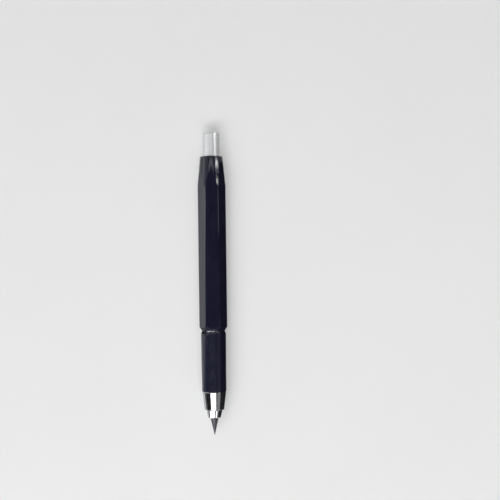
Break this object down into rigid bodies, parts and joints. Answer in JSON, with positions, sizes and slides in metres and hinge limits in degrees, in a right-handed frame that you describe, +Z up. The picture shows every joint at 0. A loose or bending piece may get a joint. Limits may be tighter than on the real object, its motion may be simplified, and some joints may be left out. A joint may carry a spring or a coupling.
{
  "type": "lead holder",
  "caption": "Clutch lead holder with a black hexagonal barrel, round grip, chrome nose, silver push button and spring jaws that hold a thick graphite lead.",
  "frame": {"origin": "on the ground under the middle of the holder's length, with the barrel lying on one flat", "axes": "+X along the axis from the push button to the point of the lead, +Z up, +Y to the left of a person who looks along +X"},
  "size_m": [0.1508, 0.0138, 0.0126],
  "materials": {
    "barrel_black": "glossy moulded",
    "grip_black": "satin moulded",
    "button_silver": "satin turned",
    "chrome": "polished",
    "brass": "turned",
    "spring_steel": "drawn wire",
    "tube_aluminium": "drawn",
    "graphite": "dull metallic grey"
  },
  "bodies": {
    "holder": {"barrel": "barrel_black", "grip_sleeve": "grip_black", "front_bush": "brass", "nose_cone": "chrome", "spring_seat": "brass", "return_spring": "spring_steel"},
    "clutch": {"push_button": "button_silver", "lead_tube": "tube_aluminium", "collet_stem": "brass"},
    "jaw_1": {"jaw_1": "chrome"},
    "jaw_2": {"jaw_2": "chrome"},
    "jaw_3": {"jaw_3": "chrome"},
    "lead": {"lead": "graphite"}
  },
  "joints": [
    {"name": "button_press", "type": "slide", "parent": "holder", "child": "clutch", "axis": [1, 0, 0], "range_m": [0, 0.0045], "stiffness_N_per_m": 240, "springref_m": -0.016, "deforming": ["return_spring"]},
    {"name": "jaw_1_open", "type": "hinge", "parent": "clutch", "child": "jaw_1", "pos_m": [0.0409, -0.00035, 0.00297], "axis": [0, 0.9945, -0.1045], "range_deg": [0, 1.1]},
    {"name": "jaw_2_open", "type": "hinge", "parent": "clutch", "child": "jaw_2", "pos_m": [0.0409, 0.00306, 0.00766], "axis": [0, -0.4067, 0.9135], "range_deg": [0, 1.1]},
    {"name": "jaw_3_open", "type": "hinge", "parent": "clutch", "child": "jaw_3", "pos_m": [0.0409, -0.00271, 0.00827], "axis": [0, -0.5878, -0.809], "range_deg": [0, 1.1]},
    {"name": "lead_feed", "type": "slide", "parent": "clutch", "child": "lead", "axis": [1, 0, 0], "range_m": [-0.029, 0.1]}
  ],
  "couplings": [
    {"joint": "jaw_1_open", "follows": "button_press", "rad_per_m": 4.2664},
    {"joint": "jaw_2_open", "follows": "button_press", "rad_per_m": 4.2664},
    {"joint": "jaw_3_open", "follows": "button_press", "rad_per_m": 4.2664}
  ]
}
